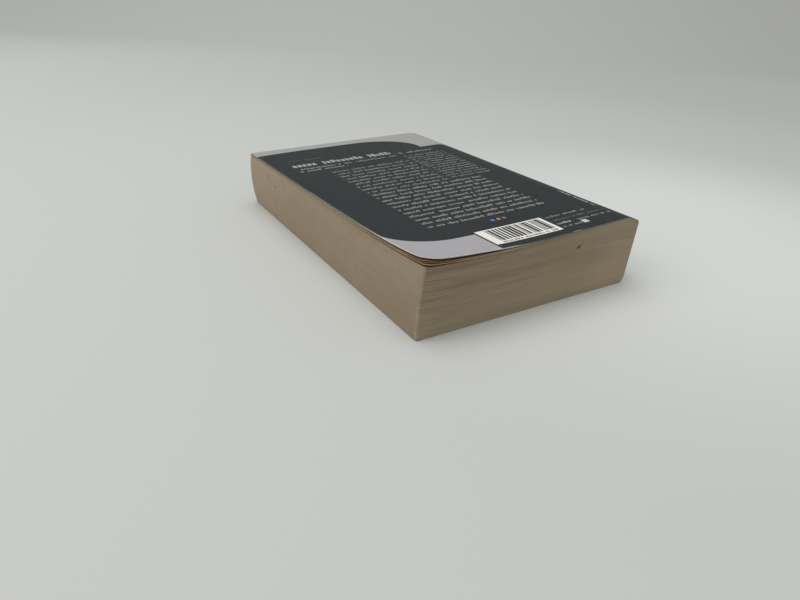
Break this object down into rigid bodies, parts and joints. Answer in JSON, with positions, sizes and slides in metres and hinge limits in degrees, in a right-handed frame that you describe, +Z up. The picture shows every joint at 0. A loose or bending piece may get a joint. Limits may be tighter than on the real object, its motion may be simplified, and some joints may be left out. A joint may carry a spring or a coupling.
{
  "type": "paperback book",
  "caption": "Thick pocket paperback lying with its back cover up, with glued spine, yellowed leaves, a curled fanned corner and covers that open.",
  "frame": {"origin": "middle of the footprint, on the surface that the book lies on", "axes": "+X from the fore edge to the spine, +Y from the tail to the head, +Z up, from the front cover to the back cover"},
  "size_m": [0.113, 0.165, 0.0313],
  "materials": {
    "pages": "matt, yellowed and slightly stained cut edges of bulky paper",
    "cover_card": "printed card with a satin film, charcoal and lavender grey print, pale worn edges",
    "glue": "set hot-melt glue, cream, hidden"
  },
  "bodies": {
    "book": {"page_block": "pages", "spine_glue": "glue", "spine_cover": "cover_card"},
    "back": {"back_cover": "cover_card"},
    "front": {"front_cover": "cover_card"}
  },
  "joints": [
    {"name": "back_cover_fold", "type": "hinge", "parent": "book", "child": "back", "pos_m": [0.04578, 0, 0.0313], "axis": [0, 1, 0], "range_deg": [0, 180]},
    {"name": "front_cover_fold", "type": "hinge", "parent": "book", "child": "front", "pos_m": [0.0484, 0, 0], "axis": [0, -1, 0], "range_deg": [0, 180]}
  ]
}
